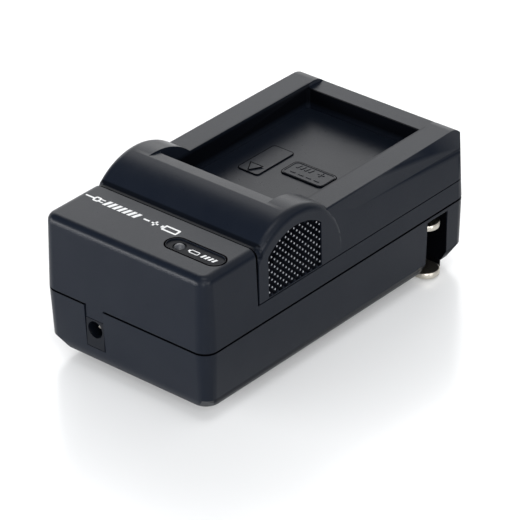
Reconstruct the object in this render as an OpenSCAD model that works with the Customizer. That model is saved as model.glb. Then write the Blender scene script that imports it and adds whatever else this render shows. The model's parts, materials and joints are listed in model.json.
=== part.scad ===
// Charger for a camera battery. A two-part case holds a drop-in bay moulding,
// a low-voltage socket in the front and a folding mains plug in the foot.
// The charger stands on its foot. +X is the side the folded blades point to,
// -Y is the socket end, and Z = 0 is the surface it stands on.

/* [Case] */
// Width of the case across the rails
case_w = 48.6; // [47:0.2:54]
// Length of the case from the socket face to the back
case_l = 91.2; // [88:0.2:96]
// Radius of the upright corners
corner_r = 3.5; // [2.8:0.1:4]
// Thickness of the moulded walls
wall = 1.8; // [1.5:0.1:2]
// Taper of each half of the case over its height
draft = 0.5; // [0.2:0.1:0.7]
// Width of the shadow gaps between the mouldings
seam = 0.55; // [0.3:0.05:0.6]
// Height of the slope round the bottom edge of the case
bottom_chamfer = 2.9; // [1.6:0.1:3.4]
// Inset of the bottom face behind the slope
chamfer_inset = 1.6; // [0.8:0.1:1.8]
// Height of the lower shell, from the foot to the parting line
lower_h = 15.3; // [15:0.1:16]
// Height of the upper shell's side band
band_h = 4.6; // [4.2:0.1:5.6]
// Height of the front deck above the parting line
deck_h = 18.4; // [18:0.1:20]
// Length of the front deck
deck_l = 17.15; // [16:0.05:18]
// Rounding of the deck's outer edges
deck_edge_r = 2; // [1:0.1:2.2]

/* [Foot] */
// Height of the foot under the case
foot_h = 2.8; // [2.4:0.1:3.6]
// Width of the foot
foot_w = 31; // [30:0.2:31.4]
// Gap between the foot's front and the socket face
foot_front_gap = 7.6; // [6:0.2:10]
// Gap between the foot's back and the back of the case
foot_back_gap = 2.2; // [2:0.1:3]
// Slope of the foot's sides
foot_taper = 1; // [0.5:0.1:1.5]
// Corner radius of the foot
foot_r = 4; // [2:0.5:6]

/* [Battery bay] */
// Width of the bay between the rails
bay_w = 34.4; // [32:0.2:35]
// Thickness of the wall behind the bay
back_wall = 7.55; // [7:0.05:9]
// Depth of the bay below the rails
bay_depth = 6.4; // [5:0.1:7]
// Height of the rails above the parting line
rail_h = 18.2; // [17.6:0.1:19]
// Drop of the bay's back wall below the rails
back_drop = 1.3; // [0.6:0.1:2]
// Rounding of the bay moulding's back edge
back_edge_r = 5; // [3:0.1:5.5]
// Rounding of the bay's upright corners
bay_corner_r = 0.8; // [0.4:0.1:1.5]
// Inset of the rails' sides at the back, above the shoulder
shoulder_inset = 0.65; // [0.3:0.05:0.9]
// Height of the sloping shoulder
shoulder_h = 1.6; // [1:0.1:2]
// Length over which the shoulder fades out
shoulder_l = 40.5; // [30:0.5:42]

/* [Hump] */
// Radius of the hump over the contacts
hump_r = 17; // [16.5:0.1:17.5]
// Height of the hump's axis above the parting line
hump_rise = 5.9; // [5.4:0.1:6.4]
// Distance of the hump's axis behind the deck seam
hump_back = 13.1; // [12.6:0.1:13.6]
// Rounding of the hump's ends
hump_edge_r = 2; // [1:0.1:2.5]
// Length of the sloping band on the hump's crest
crest_l = 3.2; // [2:0.1:4]
// Drop of the sloping band to the bay
crest_drop = 0.5; // [0.2:0.1:1]

/* [Grip] */
// Length of the grip panel in the hump's end
grip_l = 17.9; // [14:0.1:18.2]
// Distance of the grip panel behind the deck seam
grip_back = 3.7; // [3:0.1:4.5]
// Spacing of the grip's ridges
grip_pitch = 1.34; // [1.2:0.02:2.4]
// Height of the grip's pyramids
grip_h = 0.5; // [0.3:0.05:0.6]
// Depth of the grip's recess
grip_recess = 0.6; // [0.5:0.05:0.8]
// Rim of the hump's end above the grip
grip_rim = 3.8; // [3:0.1:5]

/* [Indicator] */
// Length of the indicator window
window_l = 15.6; // [12:0.1:17]
// Width of the indicator window
window_w = 4.6; // [4:0.1:5]
// Gap between the window's end and the rounding of the deck's edge
window_gap = 0.2; // [0.15:0.05:1.5]
// Centre of the window behind the socket face
window_back = 9; // [8:0.1:9.6]
// Diameter of the indicator lamp
lamp_d = 3; // [2:0.1:3.2]

/* [Socket] */
// Offset of the socket from the case's middle line
socket_x = -9; // [-10:0.1:-8]
// Width of the socket's face
socket_w = 5.2; // [5:0.1:6]
// Length of the socket behind its face
socket_l = 10; // [8:0.5:12]
// Height of the socket's hole above the circuit board
socket_axis_h = 3.25; // [3:0.05:3.4]
// Radius of the socket's hole
socket_r = 2.1; // [1.8:0.05:2.3]
// Radius of the socket's centre pin where it stands free
socket_pin_r = 0.65; // [0.5:0.05:0.8]
// Distance of the centre pin's tip behind the face
socket_pin_recess = 1.8; // [1:0.1:2.5]
// Radius of the centre pin's root in the socket's back wall
socket_root_r = 0.85; // [0.7:0.05:1]

/* [Mains plug] */
// Rim of the rotor outside the blades' middle planes
rotor_rim = 2.55; // [2.35:0.05:2.65]
// Skin of the rotor over the blades' flat faces
rotor_skin = 0.5; // [0.4:0.05:0.8]
// Length of the rotor
rotor_l = 11.2; // [10:0.1:11.6]
// Offset of the rotor's axis from the case's middle line
rotor_x = -0.3; // [-1:0.1:0.4]
// Distance of the plug's centre from the back of the case
plug_back = 11.15; // [10.9:0.05:11.6]
// Width of a blade
blade_w = 6.35; // [6:0.05:6.5]
// Thickness of a blade
blade_t = 1.5; // [1.4:0.05:1.6]
// Distance between the two blades
blade_pitch = 12.7; // [12.5:0.1:12.8]
// Reach of the blades from the rotor's axis
blade_reach = 24.4; // [23:0.1:24.4]
// Radius of the rotor's trunnions
trunnion_r = 2.2; // [1.8:0.1:2.6]
// Length of each trunnion
trunnion_l = 1.9; // [1.5:0.1:2]

/* [Inside] */
// Thickness of the circuit board
board_t = 1.6; // [1.2:0.1:2]
// Distance of the screws from the case's sides
screw_inset = 5.9; // [5.7:0.1:6.2]
// Distance of the front screws from the socket face
screw_front = 6; // [5.6:0.1:6.4]
// Distance of the rear screws from the back of the case
screw_back = 19.6; // [19.4:0.1:20.4]
// Diameter of the screw shanks
screw_d = 2.4; // [2:0.1:2.6]
// Diameter of the screw heads
screw_head_d = 4.4; // [4:0.1:4.6]
// Width of a battery contact
contact_w = 1.6; // [1.2:0.1:2]
// Spacing of the battery contacts
contact_pitch = 6; // [5:0.1:7]
// Thickness of the contact strips
strip_t = 0.35; // [0.3:0.05:0.4]

/* [Hidden] */
$fn = 64;

shell_colour = [0.20, 0.21, 0.24];
metal_colour = [0.86, 0.84, 0.80];
big = 120;
slice = 0.02;
fit_gap = 0.05;
free_gap = 0.3;

front_y = -case_l / 2;
back_y = case_l / 2;
bottom_z = foot_h;
parting_z = foot_h + lower_h;
band_z = parting_z + band_h;
deck_z = parting_z + deck_h;
rail_z = parting_z + rail_h;
seam_y = front_y + deck_l;

hump_y = seam_y + hump_back;
hump_z = parting_z + hump_rise;
hump_inset = 0.15;
hump_w = case_w - 2 * hump_inset;
foot_lip_l = 1.8;
crest_back = 1.4;

floor_z = rail_z - bay_depth;
bay_front = hump_y + crest_back;
bay_back = back_y - back_wall;
bay_l = bay_back - bay_front;
bay_wall = 1.5;
back_room_y = back_y - draft - 0.7 * back_edge_r;
mark_at = [-8.3, bay_front + 0.504 * bay_l];
mark_size = [6.3, 13.2];
plate_at = [3.7, bay_front + 0.523 * bay_l];
plate_size = [12.4, 6.4];
mark_h = 0.25;
arrow_y = bay_front + 0.404 * bay_l;
crest_z = hump_z + sqrt(pow(hump_r, 2) - pow(hump_y - bay_front + crest_l, 2));

board_drop = 10.9;
board_z = parting_z - board_drop;
board_top = board_z + board_t;
board_front = front_y + 2 * wall - 1;
rest_r = 1.6;
rest_x = case_w / 2 - 7.3;
rest_points = [
    [-rest_x, front_y + 15], [rest_x, front_y + 15],
    [-rest_x, front_y + 55], [rest_x, front_y + 55]
];
socket_z = board_top + socket_axis_h;
socket_top = socket_z + 2.5;
socket_bottom = board_z + 0.15;
socket_face = 0.25;
socket_back = 1.2;
tongue_recess = 0.35;
contact_y = bay_front - bay_wall - 2.2;

plug_y = back_y - plug_back;
rotor_r = blade_pitch / 2 + rotor_rim;
rotor_flat = blade_pitch / 2 + blade_t / 2 + rotor_skin;
rotor_lift = 0.15;
axis_z = rotor_flat + rotor_lift;
pocket_gap = 0.4;
pocket_r = rotor_r + free_gap;
pocket_half = rotor_l / 2 + pocket_gap;
pocket_front = plug_y - pocket_half;
channel_half = blade_w / 2 + 0.575;
channel_top = axis_z + blade_pitch / 2 + blade_t / 2 + 1.95;
blade_tip_r = blade_w / 2;
detent_seat = 0.8;
detent_w = 4;
detent_half = 5.6;
spring_w = 1.2;
spring_half = 1.8;

boss_z = parting_z - wall;
boss_r = 3;
screw_seat_z = parting_z - 6.7;
screw_len = 12;
screw_x = case_w / 2 - screw_inset;
screw_points = [
    [-screw_x, front_y + screw_front], [screw_x, front_y + screw_front],
    [-screw_x, back_y - screw_back], [screw_x, back_y - screw_back]
];

window_x = case_w / 2 - draft - deck_edge_r - window_gap - window_l / 2;
window_y = front_y + window_back;
window_top = deck_z - 0.35;
lamp_inset = 0.9;
lamp_x = window_x - window_l / 2 + window_w / 2 + lamp_inset;

tab_t = 1.2;
tab_l = 6;
tab_front = seam_y + 4;
tab_rear = back_y - screw_back - boss_r - tab_l - 2;
tab_points = [tab_front, (tab_front + tab_rear) / 2, tab_rear];

core_w = 16;
core_h = 13;
core_t = 6;
core_at = [-0.145 * case_w, 0.066 * case_l];
mains_can_at = [0.247 * case_w, -0.066 * case_l];
output_can_at = [-0.267 * case_w, -0.132 * case_l];
bridge_at = [0.247 * case_w, 0.11 * case_l];
fuse_at = [0.05 * case_w, 0.197 * case_l];
chip_at = [0.04 * case_w, contact_y - 3.8];
transistor_at = [0.205 * case_w, contact_y - 2];
lead_d = 0.6;
mains_can = [8, 13];
output_can = [6.3, 11];

// A rectangle with round corners, centred on the origin.
module rounded_plan(w, l, r) {
    square([w - 2 * r, l], center = true);
    square([w, l - 2 * r], center = true);
    for (sx = [-1, 1], sy = [-1, 1])
        translate([sx * (w / 2 - r), sy * (l / 2 - r)]) circle(r, $fn = 48);
}

// A tapered body through rounded plans; each level is [inset, height, corner radius].
// A level without a radius takes it from the inset.
module loft(w, l, r, levels) {
    hull()
        for (i = [0 : len(levels) - 1])
            translate([0, 0, levels[i][1] - (i == 0 ? 0 : slice)])
                linear_extrude(slice)
                    rounded_plan(w - 2 * levels[i][0], l - 2 * levels[i][0],
                                 len(levels[i]) > 2 ? levels[i][2] : max(r - levels[i][0], 0.3));
}

// A box given by its low and high corners.
module span(low, high) {
    translate(low) cube(high - low);
}

// A profile drawn in Y and Z, extruded to both sides of X = 0.
module along_x(w) {
    rotate([90, 0, 90]) linear_extrude(w, center = true) children();
}

// A profile drawn in X and Z, extruded to both sides of Y = 0.
module along_y(w) {
    rotate([90, 0, 0]) linear_extrude(w, center = true) children();
}

// A bent strip of even thickness through a list of points.
module bent_strip(points, t) {
    for (i = [0 : len(points) - 2]) {
        run = points[i + 1] - points[i];
        translate(points[i])
            rotate(atan2(run[1], run[0]))
                translate([0, -t / 2])
                    square([norm(run), t]);
    }
    for (i = [1 : len(points) - 2])
        translate(points[i]) circle(t / 2, $fn = 16);
}

// A pill-shaped outline along X.
module pill(l, w) {
    square([l - w, w], center = true);
    for (s = [-1, 1]) translate([s * (l - w) / 2, 0]) circle(w / 2);
}

// Outer form of the lower shell with its foot.
module lower_form() {
    loft(case_w, case_l, corner_r, [
        [draft + chamfer_inset, bottom_z, corner_r],
        [draft, bottom_z + bottom_chamfer],
        [0, parting_z]
    ]);
    foot_form(0, 0);
}

// The foot, shrunk by a wall and raised by a floor for its inside.
module foot_form(inset, lift) {
    foot_l = case_l - foot_front_gap - foot_back_gap;
    translate([0, (foot_front_gap - foot_back_gap) / 2, 0])
        loft(foot_w, foot_l, foot_r, [
            [foot_taper + inset, lift],
            [inset, bottom_z + wall + 1]
        ]);
}

// Room inside the lower shell.
module lower_room() {
    loft(case_w, case_l, corner_r, [
        [draft + chamfer_inset + 0.6 * wall, bottom_z + wall],
        [draft + wall, bottom_z + bottom_chamfer + 0.6],
        [wall, parting_z + slice]
    ]);
    foot_form(wall, wall);
}

// Walls round the plug rotor and the blades' channel.
module plug_housing() {
    span([rotor_x - pocket_r - wall, pocket_front - wall, 0],
         [rotor_x + pocket_r + wall, back_y, parting_z]);
    span([rotor_x, plug_y - channel_half - wall, 0],
         [case_w / 2, plug_y + channel_half + wall, parting_z]);
}

// Space swept by the rotor and the blades.
module plug_space() {
    translate([rotor_x, plug_y, axis_z]) along_y(2 * pocket_half) circle(pocket_r);
    span([rotor_x - pocket_r, plug_y - pocket_half, -1],
         [rotor_x + pocket_r, plug_y + pocket_half, axis_z]);
    span([rotor_x, plug_y - channel_half, -1],
         [case_w / 2 + 1, plug_y + channel_half, channel_top]);
}

module base_shell() {
    color(shell_colour)
    difference() {
        lower_form();
        difference() {
            lower_room();
            plug_housing();
            for (p = screw_points)
                translate([p[0], p[1], 0]) cylinder(r = boss_r + 0.2, h = boss_z);
            for (p = rest_points)
                translate([p[0], p[1], 0]) cylinder(r = rest_r, h = board_z);
        }
        plug_space();
        // Bearings of the rotor's trunnions.
        translate([rotor_x, plug_y, axis_z])
            along_y(2 * (pocket_half + trunnion_l)) circle(trunnion_r + fit_gap);
        // Slots for the mains springs and the seat of the detent spring.
        for (s = [-1, 1])
            translate([rotor_x + s * blade_pitch / 2, plug_y, 0])
                span([-spring_w / 2 - 0.4, -spring_half - 0.6, axis_z + blade_pitch / 2],
                     [spring_w / 2 + 0.4, spring_half + 0.6, parting_z + 1]);
        span([rotor_x - pocket_r - detent_seat, plug_y - detent_w / 2 - 0.25, axis_z - detent_half - 0.4],
             [rotor_x, plug_y + detent_w / 2 + 0.25, axis_z + detent_half + 0.4]);
        for (p = screw_points) {
            translate([p[0], p[1], 0]) cylinder(r = screw_head_d / 2 + 0.3, h = screw_seat_z);
            translate([p[0], p[1], 0]) cylinder(r = screw_d / 2 + 0.2, h = parting_z);
        }
        // Opening for the socket's face and the tongue above it.
        span([socket_x - socket_w / 2 - free_gap, front_y - 1, socket_bottom - free_gap],
             [socket_x + socket_w / 2 + fit_gap, front_y + 2 * wall, parting_z + 1]);
        // Shadow gap along the parting line.
        difference() {
            span([-big, -big, parting_z - seam], [big, big, parting_z + 1]);
            translate([0, 0, parting_z - 1])
                linear_extrude(3)
                    rounded_plan(case_w - 2 * seam, case_l - 2 * seam, corner_r - seam);
        }
    }
}

// Drafted form of everything above the parting line, up to a top height.
module upper_form(top, edge) {
    loft(case_w, case_l, corner_r, concat(
        [[0, parting_z]],
        [for (a = [0 : 15 : 90])
            [draft + edge * (1 - cos(a)), top - edge + edge * sin(a)]]
    ));
}

module upper_room(top) {
    loft(case_w, case_l, corner_r, [
        [wall, parting_z - slice],
        [draft + wall, top]
    ]);
}

module upper_shell() {
    color(shell_colour) {
        difference() {
            intersection() {
                upper_form(deck_z, deck_edge_r);
                union() {
                    span([-big, -big, 0], [big, seam_y, big]);
                    span([-big, -big, 0], [big, big, band_z]);
                }
            }
            difference() {
                upper_room(deck_z - wall);
                span([-big, seam_y - wall, band_z - wall], [big, seam_y, big]);
                for (i = [0, 1])
                    translate([screw_points[i][0], screw_points[i][1], 0])
                        cylinder(r = boss_r, h = big);
            }
            translate([window_x, window_y, deck_z - wall - slice])
                linear_extrude(big) pill(window_l, window_w);
            for (i = [0, 1])
                translate([screw_points[i][0], screw_points[i][1], 0])
                    cylinder(r = screw_d / 2 + 0.02, h = screw_seat_z + screw_len + 1);
        }
        // Lower ends of the screw bosses, inside the lower shell.
        for (i = [0, 1])
            translate([screw_points[i][0], screw_points[i][1], boss_z])
                difference() {
                    cylinder(r = boss_r, h = wall + 1);
                    translate([0, 0, -1]) cylinder(r = screw_d / 2 + 0.02, h = wall + 4);
                }
        // Tongue above the socket.
        span([socket_x - socket_w / 2, front_y + tongue_recess, socket_top + fit_gap],
             [socket_x + socket_w / 2, front_y + wall, parting_z + 0.5]);
        // Locating tabs that reach into the lower shell.
        for (s = [0, 1], y = tab_points)
            mirror([s, 0, 0]) translate([case_w / 2 - wall, y, parting_z]) locating_tab();
    }
}

// A tab on the inside of the upper shell's band.
module locating_tab() {
    span([-tab_t - 0.2, 0, -1.5], [-0.2, tab_l, 0.5]);
    span([-tab_t - 0.2, 0, 0], [0.4, tab_l, band_h - 1]);
}

// The hump: a cylinder across the case with rounded ends.
module hump_form() {
    translate([0, hump_y, hump_z])
        rotate([0, 90, 0])
            rotate_extrude() {
                translate([0, -hump_w / 2]) square([hump_r - hump_edge_r, hump_w]);
                translate([0, -hump_w / 2 + hump_edge_r])
                    square([hump_r, hump_w - 2 * hump_edge_r]);
                for (s = [-1, 1])
                    translate([hump_r - hump_edge_r, s * (hump_w / 2 - hump_edge_r)])
                        circle(hump_edge_r);
            }
}

// Rails and back wall, with the rounded back edge.
module rail_form() {
    difference() {
        upper_form(rail_z, 0.4);
        span([-big, -big, 0], [big, hump_y, big]);
        back_face = back_y - draft;
        along_x(case_w + 2)
            translate([back_face - back_edge_r, rail_z - back_edge_r])
                difference() {
                    square(back_edge_r + 1);
                    circle(back_edge_r);
                }
    }
}

// What the shoulder takes off the rail on the +X side.
module shoulder_cut() {
    lean = atan(shoulder_inset / shoulder_l);
    start = back_y - shoulder_l;
    translate([case_w / 2 - draft * rail_h / deck_h * 0.8, start, rail_z - 4.4])
        rotate([-2, 0, lean])
            rotate([90, 0, 180])
                linear_extrude(shoulder_l + 10)
                    polygon([[0, 0], [0, 20], [-4, 20],
                             [-4, -shoulder_h - 0.2], [-shoulder_inset - 0.1, -shoulder_h - 0.2]]);
}

// Outline of the grip panel, drawn in Y and Z.
module grip_outline() {
    intersection() {
        translate([seam_y + grip_back, band_z + 0.5]) square([grip_l, big]);
        translate([hump_y, hump_z]) circle(hump_r - grip_rim);
    }
}

// One set of straight ridges, drawn in X, standing up in Z.
module ridges(count) {
    along_y(2 * count * grip_pitch)
        polygon(concat(
            [for (i = [-count : count - 1], h = [0, 1])
                [(i + h / 2) * grip_pitch, h * grip_h]],
            [[count * grip_pitch, 0], [count * grip_pitch, -1], [-count * grip_pitch, -1]]
        ));
}

// The grip's pyramids: two sets of ridges crossing on the slant.
module grip_pyramids() {
    centre = [seam_y + grip_back + grip_l / 2, hump_z + 4];
    count = ceil(grip_l * 0.75 / grip_pitch);
    intersection() {
        along_x(case_w) grip_outline();
        translate([hump_w / 2 - grip_recess, centre[0], centre[1]])
            rotate([90, 0, 90])
                intersection() {
                    rotate([0, 0, 45]) ridges(count);
                    rotate([0, 0, -45]) ridges(count);
                }
    }
}

module bay_module() {
    color(shell_colour) {
        difference() {
            intersection() {
                union() {
                    rail_form();
                    hump_form();
                    span([-case_w / 2 + draft + 0.2, seam_y, band_z],
                         [case_w / 2 - draft - 0.2, seam_y + foot_lip_l, deck_z - 0.2]);
                }
                span([-big, seam_y, band_z], [big, big, big]);
            }
            // The bay, its lowered back wall and the sloping crest.
            translate([0, bay_front + bay_l / 2, floor_z])
                linear_extrude(big) rounded_plan(bay_w, bay_l, bay_corner_r);
            along_x(bay_w)
                polygon([
                    [bay_front - crest_l, crest_z], [bay_front - crest_l, crest_z + 9],
                    [bay_back, crest_z + 9], [bay_back, crest_z - crest_drop],
                    [bay_front, crest_z - crest_drop]
                ]);
            span([-bay_w / 2, bay_back - 1, rail_z - back_drop], [bay_w / 2, big, big]);
            for (s = [0, 1]) mirror([s, 0, 0]) shoulder_cut();
            difference() {
                bay_room();
                for (i = [2, 3])
                    translate([screw_points[i][0], screw_points[i][1], 0])
                        cylinder(r = boss_r, h = big);
            }
            for (i = [2, 3])
                translate([screw_points[i][0], screw_points[i][1], 0])
                    cylinder(r = screw_d / 2 + 0.02, h = screw_seat_z + screw_len + 1);
            // Slots for the battery contacts.
            for (i = [-1, 0, 1])
                span([i * contact_pitch - contact_w / 2 - 0.2, bay_front - 2 * bay_wall, floor_z + 1],
                     [i * contact_pitch + contact_w / 2 + 0.2, bay_front + 1, floor_z + 5.4]);
            // Recesses of the grips and the shadow gaps at the deck and the band.
            for (s = [-1, 1])
                translate([s * (hump_w / 2 + 5 - grip_recess), 0, 0]) along_x(10) grip_outline();
            difference() {
                span([-big, seam_y - 1, 0], [big, seam_y + seam, big]);
                translate([0, 0, -1])
                    span([-case_w / 2 + 1.2, -big, 0], [case_w / 2 - 1.2, big, deck_z - 1.2]);
            }
            difference() {
                span([-big, -big, band_z - 1], [big, big, band_z + seam / 2]);
                linear_extrude(big)
                    rounded_plan(case_w - 4 * seam, case_l - 4 * seam, corner_r - seam);
            }
        }
        for (s = [0, 1]) mirror([s, 0, 0]) grip_pyramids();
        // Lower ends of the screw bosses under the rails.
        for (i = [2, 3])
            translate([screw_points[i][0], screw_points[i][1], boss_z])
                difference() {
                    cylinder(r = boss_r, h = band_z + 1 - boss_z);
                    translate([0, 0, -1])
                        cylinder(r = screw_d / 2 + 0.02, h = band_z + 3 - boss_z);
                }
        floor_marks();
    }
}

// Raised plates on the bay floor: one with an arrow to the contacts, one bare.
module floor_marks() {
    translate([mark_at[0], mark_at[1], floor_z - 0.2])
        linear_extrude(mark_h + 0.2) rounded_plan(mark_size[0], mark_size[1], 0.9);
    translate([plate_at[0], plate_at[1], floor_z - 0.2])
        linear_extrude(mark_h + 0.2) rounded_plan(plate_size[0], plate_size[1], 1.3);
    translate([mark_at[0], arrow_y, floor_z])
        linear_extrude(2 * mark_h) polygon([[0, -0.8], [1.6, 1.9], [-1.6, 1.9]]);
}

// Room inside the bay moulding.
module bay_room() {
    inner_x = bay_w / 2 + bay_wall;
    intersection() {
        upper_room(rail_z - wall);
        union() {
            span([-big, bay_front - bay_wall, 0], [big, big, floor_z - wall]);
            for (s = [-1, 1])
                span([s > 0 ? inner_x : -case_w / 2, bay_front - bay_wall, 0],
                     [s > 0 ? case_w / 2 : -inner_x, back_room_y, rail_z - wall]);
        }
    }
    intersection() {
        translate([0, hump_y, hump_z]) along_x(case_w - 2 * (wall + grip_recess))
            circle(hump_r - wall);
        union() {
            span([-big, seam_y + bay_wall, 0], [big, bay_front - bay_wall, big]);
            for (s = [-1, 1])
                span([s > 0 ? inner_x : -big, seam_y + bay_wall, 0],
                     [s > 0 ? big : -inner_x, big, big]);
        }
    }
    span([-inner_x, bay_back + bay_wall, 0],
         [inner_x, back_room_y, rail_z - back_drop - wall]);
}

module indicator_window() {
    color([0.13, 0.13, 0.15])
    difference() {
        translate([window_x, window_y, deck_z - wall]) {
            linear_extrude(window_top - deck_z + wall)
                pill(window_l - 2 * fit_gap, window_w - 2 * fit_gap);
            translate([0, 0, -1]) linear_extrude(1) pill(window_l - 1, window_w + 1);
        }
        translate([lamp_x, window_y, 0]) cylinder(d = lamp_d + 2 * fit_gap, h = big);
        translate([screw_points[1][0], screw_points[1][1], 0])
            cylinder(r = boss_r + fit_gap, h = deck_z - wall);
    }
}

module charge_lamp() {
    lamp_base = deck_z - wall - 3;
    color([0.9, 0.9, 0.86])
    translate([lamp_x, window_y, 0]) {
        translate([0, 0, lamp_base]) cylinder(d = lamp_d, h = window_top - lamp_base - 0.5);
        intersection() {
            translate([0, 0, window_top - 0.9]) sphere(d = lamp_d);
            translate([0, 0, lamp_base]) cylinder(d = lamp_d, h = big);
        }
        translate([0, 0, lamp_base]) cylinder(d = lamp_d + 0.8, h = 1);
        for (s = [-1, 1])
            translate([s * 0.8, 0, board_top]) cylinder(d = 0.5, h = lamp_base - board_top + 0.5, $fn = 24);
    }
}

module contact_block() {
    block_w = 2 * contact_pitch + contact_w + 4;
    color([0.1, 0.1, 0.11])
    difference() {
        span([-block_w / 2, bay_front - bay_wall - 3.4, floor_z - 0.8],
             [block_w / 2, bay_front - bay_wall, floor_z + 7]);
        for (i = [-1, 0, 1])
            span([i * contact_pitch - contact_w / 2 - fit_gap, contact_y, floor_z - 2],
                 [i * contact_pitch + contact_w / 2 + fit_gap, bay_front, floor_z + 5.4]);
    }
}

// One battery contact: soldered to the board, bent forward into the bay.
module battery_contact(i) {
    tail_y = contact_y + strip_t / 2;
    color([0.85, 0.68, 0.35])
    translate([i * contact_pitch, 0, 0])
        along_x(contact_w)
            bent_strip([
                [tail_y, board_top], [tail_y, floor_z + 5], [bay_front - 0.4, floor_z + 4.8],
                [bay_front + 1.1, floor_z + 3.2], [bay_front - 0.4, floor_z + 1.6]
            ], strip_t);
}

module socket_body() {
    slot_w = 1.6;
    color([0.12, 0.12, 0.13])
    difference() {
        union() {
            span([socket_x - socket_w / 2, front_y + socket_face, socket_bottom],
                 [socket_x + socket_w / 2, board_front - 0.2, socket_top]);
            span([socket_x - socket_w / 2 - 0.2, board_front - 0.2, board_top],
                 [socket_x + socket_w / 2 + 0.2, front_y + socket_l, socket_top]);
        }
        translate([socket_x, front_y + (socket_l - socket_back) / 2, socket_z])
            along_y(socket_l - socket_back) circle(socket_r);
        translate([socket_x, front_y + socket_l, socket_z]) along_y(2 * socket_back + 1) circle(socket_root_r);
        span([socket_x, front_y + 1.4, socket_z - slot_w / 2],
             [socket_x + socket_r + 0.35, front_y + socket_l - 1, socket_z + slot_w / 2]);
    }
}

module socket_pin() {
    tip = 0.4;
    free_l = socket_l - socket_back - socket_pin_recess;
    color(metal_colour) {
        translate([socket_x, front_y + socket_pin_recess, socket_z])
            rotate([-90, 0, 0]) {
                cylinder(r1 = socket_pin_r - 0.25, r2 = socket_pin_r, h = tip);
                translate([0, 0, tip]) cylinder(r = socket_pin_r, h = free_l - tip);
                translate([0, 0, free_l]) cylinder(r = socket_root_r, h = socket_back + 0.6);
            }
        translate([socket_x, front_y + socket_l + 0.6, 0])
            span([-0.6, -0.5, board_top], [0.6, 0, socket_z]);
    }
}

module socket_spring() {
    wall_x = socket_x + socket_r + 0.35 - strip_t / 2;
    color(metal_colour)
    translate([0, 0, socket_z - 0.7])
        linear_extrude(1.4)
            bent_strip([
                [wall_x, front_y + 1.5], [wall_x - 0.5, front_y + 3.2],
                [wall_x, front_y + 5], [wall_x, front_y + socket_l - 1]
            ], strip_t);
}

module circuit_board() {
    side = case_w / 2 - wall - draft - 0.8;
    color([0.13, 0.32, 0.2])
    difference() {
        span([-side, board_front, board_z], [side, pocket_front - wall - 0.2, board_top]);
        for (p = screw_points)
            translate([p[0], p[1], 0]) {
                cylinder(r = boss_r + 0.5, h = big);
                span([p[0] > 0 ? 0 : -big, p[1] < 0 ? -big : 0, 0],
                     [p[0] > 0 ? big : 0, p[1] < 0 ? 0 : big, big]);
            }
    }
}

module transformer_core() {
    color([0.25, 0.24, 0.24])
    translate([core_at[0], core_at[1], board_top])
        along_y(core_t)
            difference() {
                translate([-core_w / 2, 0]) square([core_w, core_h]);
                for (s = [-1, 1])
                    translate([s * core_w * 0.28 - core_w * 0.11, core_h * 0.2])
                        square([core_w * 0.22, core_h * 0.6]);
            }
}

module transformer_winding() {
    leg = core_w * 0.34;
    coil_h = core_h * 0.6 - 0.2;
    color([0.86, 0.72, 0.2])
    translate([core_at[0], core_at[1], board_top + core_h * 0.2 + 0.1])
        difference() {
            linear_extrude(coil_h) rounded_plan(leg + 2 * core_w * 0.2, core_t + 6, 1.6);
            translate([0, 0, -1]) linear_extrude(coil_h + 2) square([leg, core_t], center = true);
        }
}

// A standing capacitor can with its crimp.
module capacitor(can) {
    d = can[0];
    h = can[1];
    rotate_extrude()
        difference() {
            square([d / 2, h]);
            translate([d / 2 + 0.15, 1.6]) circle(0.45, $fn = 24);
            translate([d / 2 - 0.3, h - 0.3]) difference() {
                square(0.4);
                circle(0.3, $fn = 24);
            }
        }
}

module mains_capacitor() {
    color([0.1, 0.12, 0.2]) translate([mains_can_at[0], mains_can_at[1], board_top]) capacitor(mains_can);
}

module output_capacitor() {
    color([0.1, 0.12, 0.2]) translate([output_can_at[0], output_can_at[1], board_top]) capacitor(output_can);
}

module bridge_rectifier() {
    color([0.08, 0.08, 0.09])
    translate([bridge_at[0], bridge_at[1], board_top]) {
        along_y(6.4) polygon([[-2.3, 0.4], [2.3, 0.4], [2.3, 2.2], [1.9, 3], [-1.9, 3], [-2.3, 2.2]]);
        for (sx = [-1, 1], sy = [-1, 1])
            span([sx > 0 ? 2.2 : -3, sy * 2 - 0.4, 0], [sx > 0 ? 3 : -2.2, sy * 2 + 0.4, 1.2]);
    }
}

module fuse_resistor() {
    color([0.3, 0.42, 0.3])
    translate([fuse_at[0], fuse_at[1], board_top + 1.5])
        rotate([0, 90, 0]) {
            cylinder(d = 3, h = 9, center = true);
            cylinder(d = lead_d, h = 12.4, center = true, $fn = 24);
        }
    for (s = [-1, 1])
        color(metal_colour)
        translate([fuse_at[0] + s * 6.2, fuse_at[1], board_top]) cylinder(d = lead_d, h = 1.8, $fn = 24);
}

module controller_chip() {
    color([0.08, 0.08, 0.09])
    translate([chip_at[0], chip_at[1], board_top]) {
        along_y(5) polygon([[-2, 0.3], [2, 0.3], [2, 1], [1.8, 1.6], [-1.8, 1.6], [-2, 1]]);
        for (s = [-1, 1], i = [-1.5 : 1.5])
            span([s > 0 ? 1.9 : -3, i * 1.2 - 0.2, 0], [s > 0 ? 3 : -1.9, i * 1.2 + 0.2, 0.6]);
    }
}

module power_transistor() {
    color([0.08, 0.08, 0.09])
    translate([transistor_at[0], transistor_at[1], board_top + 2]) {
        intersection() {
            cylinder(d = 4.8, h = 4.8);
            span([-3, -1.4, 0], [3, 3, 5]);
        }
        for (i = [-1, 0, 1]) span([i * 1.27 - 0.25, -0.2, -2], [i * 1.27 + 0.25, 0.3, 0.2]);
    }
}

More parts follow.
